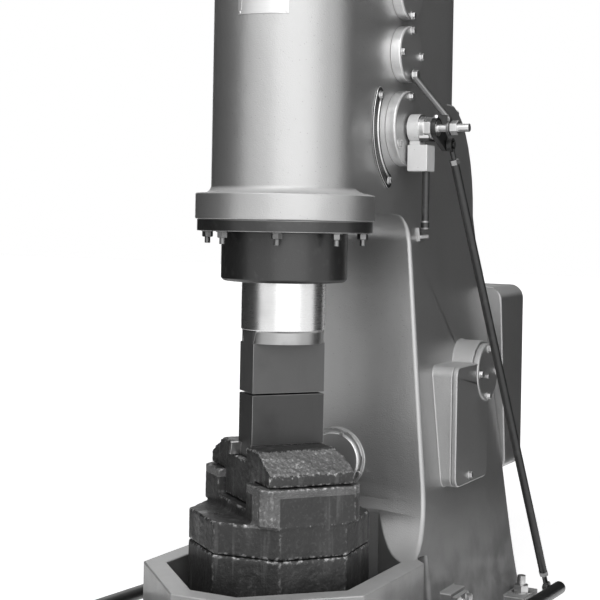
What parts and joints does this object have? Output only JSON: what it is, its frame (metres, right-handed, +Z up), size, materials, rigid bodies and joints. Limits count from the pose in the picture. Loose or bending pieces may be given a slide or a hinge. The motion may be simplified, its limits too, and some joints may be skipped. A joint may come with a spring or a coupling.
{
  "type": "air forging hammer",
  "caption": "Pneumatic forging hammer: tall C-shaped cast frame with two cylinders, vertical ram with dies, separate stepped anvil, valve lever, pull rod and hoop treadle.",
  "frame": {"origin": "on the floor, under the ram axis, in the middle of the anvil's underside", "axes": "+Z up along the ram's stroke, -Y towards the operator in front, +X towards the valve lever's side"},
  "size_m": [1.126, 2.3402, 2.542],
  "materials": {
    "grey_enamel": "semi-gloss grey enamel over cast iron",
    "black_iron": "black paint, slightly oily",
    "polished_ram": "ground and polished steel",
    "die_steel": "milled die steel, dull grey",
    "oily_anvil": "dark oily casting with bright worn edges",
    "machined_steel": "turned steel",
    "light_enamel": "light grey enamel",
    "plate_metal": "bare satin plate"
  },
  "bodies": {
    "frame": {"frame_base": "grey_enamel", "frame_column": "grey_enamel", "cylinder_block": "grey_enamel", "working_cylinder_head": "grey_enamel", "compressor_cylinder_head": "grey_enamel", "lower_valve_cover_right": "grey_enamel", "middle_valve_cover_right": "grey_enamel", "upper_valve_cover_right": "grey_enamel", "lower_valve_cover_left": "grey_enamel", "middle_valve_cover_left": "grey_enamel", "upper_valve_cover_left": "grey_enamel", "treadle_bracket_right": "grey_enamel", "treadle_bracket_left": "grey_enamel", "crankcase_cover_right": "grey_enamel", "crankcase_cover_left": "grey_enamel", "bearing_cap_right": "grey_enamel", "bearing_cap_left": "grey_enamel", "front_cover": "grey_enamel", "gear_case": "grey_enamel", "gear_case_cover": "grey_enamel", "drive_motor": "grey_enamel", "motor_fan_cowl": "grey_enamel", "motor_terminal_box": "grey_enamel", "gland_ring": "black_iron", "guide_sleeve": "black_iron", "quadrant_plate": "black_iron", "lower_die": "die_steel", "lower_die_key": "die_steel", "anvil_cap": "oily_anvil", "anvil_upper_block": "oily_anvil", "anvil_lower_block": "oily_anvil", "shaft_brace": "machined_steel", "lever_stop": "machined_steel", "nameplate": "plate_metal"},
    "ram": {"ram": "polished_ram", "upper_die": "die_steel", "upper_die_key": "die_steel"},
    "treadle": {"treadle": "black_iron"},
    "pull_rod": {"pull_rod": "black_iron"},
    "valve_lever": {"valve_shaft": "machined_steel", "lever_block": "light_enamel", "hand_lever": "machined_steel", "crank_arm": "black_iron"}
  },
  "joints": [
    {"name": "ram_slide", "type": "slide", "parent": "frame", "child": "ram", "axis": [0, 0, 1], "range_m": [0, 0.165]},
    {"name": "treadle_hinge", "type": "hinge", "parent": "frame", "child": "treadle", "pos_m": [0, 0.48, 0.15], "axis": [1, 0, 0], "range_deg": [0, 3], "stiffness_Nm_per_rad": 500, "springref_deg": -28.65},
    {"name": "valve_turn", "type": "hinge", "parent": "frame", "child": "valve_lever", "pos_m": [0.3, 0.323, 1.6], "axis": [1, 0, 0], "range_deg": [0, 22]},
    {"name": "rod_swing", "type": "hinge", "parent": "treadle", "child": "pull_rod", "pos_m": [0.493, 0.94364, 0.1318], "axis": [1, 0, 0], "range_deg": [-4, 0]}
  ],
  "couplings": [
    {"joint": "valve_turn", "follows": "treadle_hinge", "ratio": 7.2},
    {"joint": "rod_swing", "follows": "treadle_hinge", "ratio": -1.153}
  ]
}
